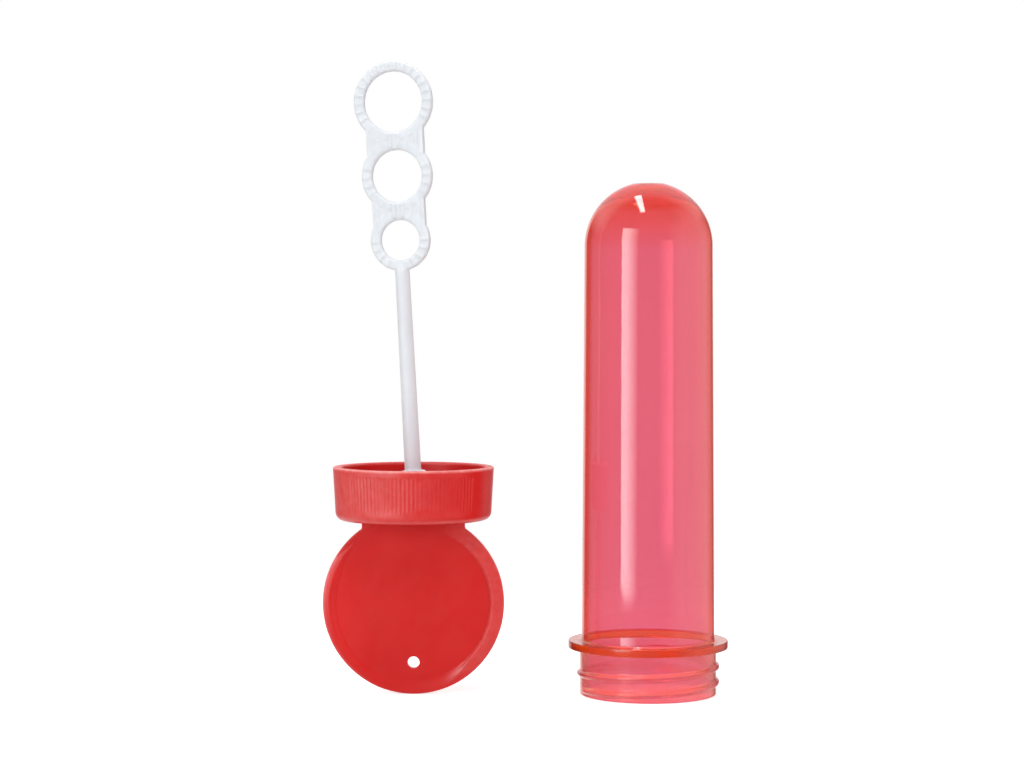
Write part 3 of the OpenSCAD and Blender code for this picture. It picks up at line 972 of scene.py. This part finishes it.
# Lamps, in metres and degrees: azimuth, elevation, width, height, radiance, and the kinds of
# reflection that the lamp makes. Azimuth 0 is at the camera's side, and grows to the left
LAMP_AIM = Vector((TUBE_X * MM, 0, 0.05))
LAMP_DISTANCE = 0.6
LAMPS = {
    "key": (36.6, 11.5, 0.328, 0.44, 7.0, ["glossy"]),
    "left": (55, 5, 0.4, 0.3, 4.1, ["diffuse"]),
    "right": (-55, 5, 0.4, 0.3, 4.2, ["diffuse"]),
    "front": (0, 50, 0.3, 0.3, 2.6, ["diffuse"]),
    "back": (180, 20, 0.4, 0.3, 2.8, ["diffuse"]),
}
KEY_COLOUR = (0.6, 0.98, 1, 1)
KEY_FADE = (1, 0.3)
TOP_SIZE = (0.070, 0.39)
TOP_RADIANCE = 16
TOP_PLACE = (-0.080, -0.075, 0.6)

# The photograph's frame: 1024 pixels wide at 0.2 mm a pixel, aimed a little left of the middle
VIEW_DISTANCE = 0.47
VIEW_PITCH = math.radians(1.6)
VIEW_WIDTH = 0.2048
VIEW_X = -0.0027
VIEW_Z = 0.06204
VIEW_CLIP = (0.01, 10)
SENSOR = 36.0

# Light passes many times between the walls of clear plastic
LIGHT_BOUNCES = 24


def set_world():
    """Even soft light with a white background behind the object.

    Reflections and light through glass see a studio: a white backdrop straight behind, a pale
    wall on the right, and dimmer walls elsewhere, which darken the tube's edges.
    """
    world = bpy.data.worlds.new("studio")
    world.use_nodes = True
    bpy.context.scene.world = world
    tree = world.node_tree
    tree.nodes.clear()
    direction = add_node(tree, "ShaderNodeTexCoord").outputs["Generated"]
    x, y, z = add_node(tree, "ShaderNodeSeparateXYZ", {0: direction}).outputs
    across = calculated(
        tree, "MULTIPLY", span(tree, x, 0, 1, *BACKDROP_LEFT), span(tree, x, 1, 0, *BACKDROP_RIGHT))
    behind = span(tree, y, 0, 1, *BACKDROP_BEHIND)
    backdrop = calculated(tree, "MULTIPLY", across, behind)
    steep = span(tree, calculated(tree, "ABSOLUTE", z, 0), 0, 1, *STEEP)
    lit = calculated(tree, "MAXIMUM", backdrop, span(tree, x, 0, SIDE_WALL_LIGHT, *SIDE_WALL))
    lit = calculated(tree, "MAXIMUM", lit, calculated(tree, "MULTIPLY", steep, behind))
    through = calculated(tree, "MAXIMUM", lit, steep)
    strength = by_ray(tree, FILL, {
        "Is Glossy Ray": span(tree, lit, GLOSS_DIM, 1, 0, 1),
        "Is Transmission Ray": span(tree, through, THROUGH_DIM, 1, 0, 1),
        "Is Camera Ray": 1.0,
    })
    light = add_node(tree, "ShaderNodeBackground", {"Color": (1, 1, 1, 1), "Strength": strength})
    add_node(tree, "ShaderNodeOutputWorld", {"Surface": light.outputs[0]})


def floor_paint():
    """Pale floor that fades out with distance, so that it has no edge against the background.

    Mirror reflections pass through it, to the same white world and the lamps' lower ends.
    """
    material, tree = new_material("floor_paint")
    place = object_space(tree)
    speck = span(tree, noise(tree, place, FLOOR_SPECK_SCALE), *FLOOR_PALE)
    grey = add_node(tree, "ShaderNodeCombineColor", {0: speck, 1: speck, 2: speck})
    matt = add_node(tree, "ShaderNodeBsdfDiffuse", {"Color": grey.outputs[0]})
    glow = add_node(tree, "ShaderNodeEmission", {"Strength": by_ray(tree, 0.0, {
        "Is Camera Ray": FLOOR_GLOW,
        "Is Transmission Ray": FLOOR_GLOW_THROUGH,
    })})
    both = add_node(tree, "ShaderNodeAddShader", {0: matt.outputs[0], 1: glow.outputs[0]})
    away = add_node(tree, "ShaderNodeVectorMath", {0: place}, operation="LENGTH")
    fade = add_node(tree, "ShaderNodeMapRange", {
        "Value": away.outputs["Value"], "From Min": FLOOR_SOLID_R, "From Max": FLOOR_FADE_R,
        "To Min": 0.0, "To Max": 1.0}, interpolation_type="SMOOTHSTEP")
    path = add_node(tree, "ShaderNodeLightPath")
    mirrored = calculated(
        tree, "SUBTRACT", path.outputs["Is Glossy Ray"], path.outputs["Is Transmission Ray"])
    gone = calculated(tree, "MAXIMUM", fade.outputs["Result"], mirrored)
    nothing = add_node(tree, "ShaderNodeBsdfTransparent")
    surface = add_node(tree, "ShaderNodeMixShader", {
        0: gone, 1: both.outputs[0], 2: nothing.outputs[0]})
    add_node(tree, "ShaderNodeOutputMaterial", {"Surface": surface.outputs[0]})
    return material


def make_floor():
    """Round floor under the object."""
    bm = bmesh.new()
    bmesh.ops.create_circle(bm, cap_ends=True, segments=FLOOR_SEGMENTS, radius=FLOOR_R)
    bmesh.ops.translate(bm, verts=bm.verts, vec=(0, 0, -FLOOR_DROP))
    mesh = bpy.data.meshes.new("floor")
    bm.to_mesh(mesh)
    bm.free()
    floor = new_object("floor", mesh)
    floor.data.materials.append(floor_paint())


def add_lamp(name, width, height, radiance, sees):
    """Soft rectangular lamp that shines down. sees names the kinds of reflection it makes."""
    data = bpy.data.lights.new(name, "AREA")
    data.shape = "RECTANGLE"
    data.size = width
    data.size_y = height
    data.energy = radiance * math.pi * width * height
    lamp = bpy.data.objects.new(name, data)
    lamp.rotation_mode = "QUATERNION"
    lamp.visible_diffuse = "diffuse" in sees
    lamp.visible_glossy = "glossy" in sees
    lamp.visible_transmission = lamp.visible_glossy
    bpy.context.scene.collection.objects.link(lamp)
    return lamp


def aim_lamp(lamp, azimuth, elevation):
    """Places the lamp round the tube's middle, facing it."""
    a, e = math.radians(azimuth), math.radians(elevation)
    back = Vector((-math.sin(a) * math.cos(e), -math.cos(a) * math.cos(e), math.sin(e)))
    lamp.location = LAMP_AIM + back * LAMP_DISTANCE
    lamp.rotation_quaternion = back.to_track_quat("Z", "Y")


def soften_side(lamp, start, end):
    """Makes the lamp's light fade towards one side, between two shares of its width."""
    data = lamp.data
    data.use_nodes = True
    tree = data.node_tree
    tree.nodes.clear()
    across = add_node(tree, "ShaderNodeSeparateXYZ", {
        0: add_node(tree, "ShaderNodeTexCoord").outputs["UV"]}).outputs["X"]
    light = add_node(tree, "ShaderNodeEmission", {
        "Color": KEY_COLOUR, "Strength": span(tree, across, 0, 1, start, end)})
    add_node(tree, "ShaderNodeOutputLight", {"Surface": light.outputs[0]})


def set_lamps():
    """The key lamp that the tube mirrors, four lamps for the matt colours and a strip overhead."""
    for name, (azimuth, elevation, width, height, radiance, sees) in LAMPS.items():
        lamp = add_lamp(name, width, height, radiance, sees)
        aim_lamp(lamp, azimuth, elevation)
        if name == "key":
            soften_side(lamp, *KEY_FADE)
    top = add_lamp("top", *TOP_SIZE, TOP_RADIANCE, ["diffuse", "glossy"])
    top.location = TOP_PLACE


def set_camera():
    """Camera at the photograph's angle."""
    data = bpy.data.cameras.new("camera")
    data.sensor_width = SENSOR
    data.lens = SENSOR * VIEW_DISTANCE / VIEW_WIDTH
    data.clip_start, data.clip_end = VIEW_CLIP
    camera = bpy.data.objects.new("camera", data)
    back = Vector((0, -math.cos(VIEW_PITCH), math.sin(VIEW_PITCH)))
    camera.location = Vector((VIEW_X, 0, VIEW_Z)) + back * VIEW_DISTANCE
    camera.rotation_mode = "QUATERNION"
    camera.rotation_quaternion = back.to_track_quat("Z", "Y")
    bpy.context.scene.collection.objects.link(camera)
    bpy.context.scene.camera = camera


def set_rendering():
    """Plain view of the colours, and enough bounces for the tube."""
    scene = bpy.context.scene
    scene.view_settings.view_transform = "Standard"
    scene.cycles.max_bounces = LIGHT_BOUNCES
    scene.cycles.glossy_bounces = LIGHT_BOUNCES
    scene.cycles.transmission_bounces = LIGHT_BOUNCES


finish_piece(make_cap(), "cap", "cap", moulded_plastic("cap_plastic", **CAP_LOOK))
finish_piece(
    make_wand(), "wand", "wand", moulded_plastic("wand_plastic", **WAND_LOOK))
finish_piece(make_tube(), "tube", "tube", clear_plastic())
make_floor()
set_world()
set_lamps()
set_camera()
set_rendering()
